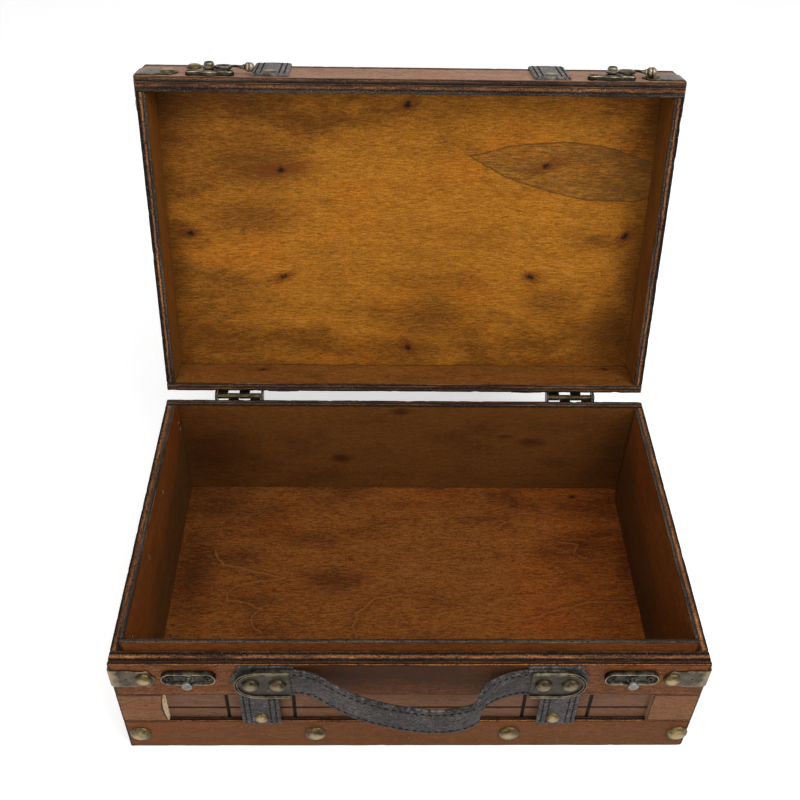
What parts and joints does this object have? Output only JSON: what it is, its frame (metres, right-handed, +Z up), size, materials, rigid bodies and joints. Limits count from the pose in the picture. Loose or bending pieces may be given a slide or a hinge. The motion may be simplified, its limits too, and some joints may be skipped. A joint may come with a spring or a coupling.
{
  "type": "wooden suitcase box",
  "caption": "Wooden keepsake box shaped like a small suitcase, with a hinged lid, leather straps, two swing latches and a leather front handle.",
  "frame": {"origin": "centre of the base's underside", "axes": "+X to the right seen from the front, -Y towards the front with the handle, +Z up; the lid stands open at rest"},
  "size_m": [0.3422, 0.3386, 0.3126],
  "materials": {
    "stained_wood": "reddish brown stain, satin, dark ply edges",
    "inner_wood": "golden brown stain, satin",
    "leather": "dark grey-brown, embossed and stitched",
    "antique_brass": "antiqued brass with dark patina",
    "dark_metal": "dark antiqued metal, brighter on its edges"
  },
  "bodies": {
    "base": {"base_back_strap_left": "leather", "base_back_strap_right": "leather", "base_back_wall": "stained_wood", "base_bottom_panel": "inner_wood", "base_corner_bracket_left": "dark_metal", "base_corner_bracket_right": "dark_metal", "base_front_wall": "stained_wood", "base_left_wall": "stained_wood", "base_right_wall": "stained_wood", "base_strap_left": "leather", "base_strap_right": "leather", "bottom_rail_nail_1": "antique_brass", "bottom_rail_nail_2": "antique_brass", "bottom_rail_nail_3": "antique_brass", "bottom_rail_nail_4": "antique_brass", "catch_peg_left": "antique_brass", "catch_peg_right": "antique_brass", "catch_plate_left": "dark_metal", "catch_plate_right": "dark_metal", "front_bottom_rail": "stained_wood", "front_left_block": "stained_wood", "front_right_block": "stained_wood", "front_top_rail": "stained_wood", "handle_end_left": "leather", "handle_end_right": "leather", "handle_patch_left": "leather", "handle_patch_right": "leather", "handle_plate_left": "dark_metal", "handle_plate_right": "dark_metal", "handle_rivet_left_inner": "antique_brass", "handle_rivet_left_outer": "antique_brass", "handle_rivet_right_inner": "antique_brass", "handle_rivet_right_outer": "antique_brass", "hinge_lower_leaf_left": "antique_brass", "hinge_lower_leaf_right": "antique_brass", "hinge_pin_left": "antique_brass", "hinge_pin_right": "antique_brass", "liner_front": "inner_wood", "liner_left": "inner_wood", "liner_right": "inner_wood"},
    "lid": {"hinge_upper_leaf_left": "antique_brass", "hinge_upper_leaf_right": "antique_brass", "latch_plate_left": "dark_metal", "latch_plate_right": "dark_metal", "latch_post_left": "antique_brass", "latch_post_right": "antique_brass", "lid_back_wall": "stained_wood", "lid_corner_bracket_left": "dark_metal", "lid_corner_bracket_right": "dark_metal", "lid_front_facing": "stained_wood", "lid_front_wall": "stained_wood", "lid_left_wall": "stained_wood", "lid_right_wall": "stained_wood", "lid_strap_left": "leather", "lid_strap_right": "leather", "lid_top_panel": "stained_wood"},
    "lever_left": {"latch_lever_left": "antique_brass"},
    "lever_right": {"latch_lever_right": "antique_brass"},
    "handle": {"handle_grip": "leather"}
  },
  "joints": [
    {"name": "lid_hinge", "type": "hinge", "parent": "base", "child": "lid", "pos_m": [0, 0.1134, 0.0885], "axis": [1, 0, 0], "range_deg": [0, 103.2]},
    {"name": "latch_left_swing", "type": "hinge", "parent": "lid", "child": "lever_left", "pos_m": [-0.1242, 0.16946, 0.3043], "axis": [0, -0.2284, -0.9736], "range_deg": [-25, 94.4]},
    {"name": "latch_right_swing", "type": "hinge", "parent": "lid", "child": "lever_right", "pos_m": [0.1242, 0.16946, 0.3043], "axis": [0, -0.2284, -0.9736], "range_deg": [-25, 85.6]},
    {"name": "handle_lift", "type": "hinge", "parent": "base", "child": "handle", "pos_m": [0, -0.1123, 0.0754], "axis": [-1, 0, 0], "range_deg": [-20, 20], "stiffness_Nm_per_rad": 0.15}
  ]
}
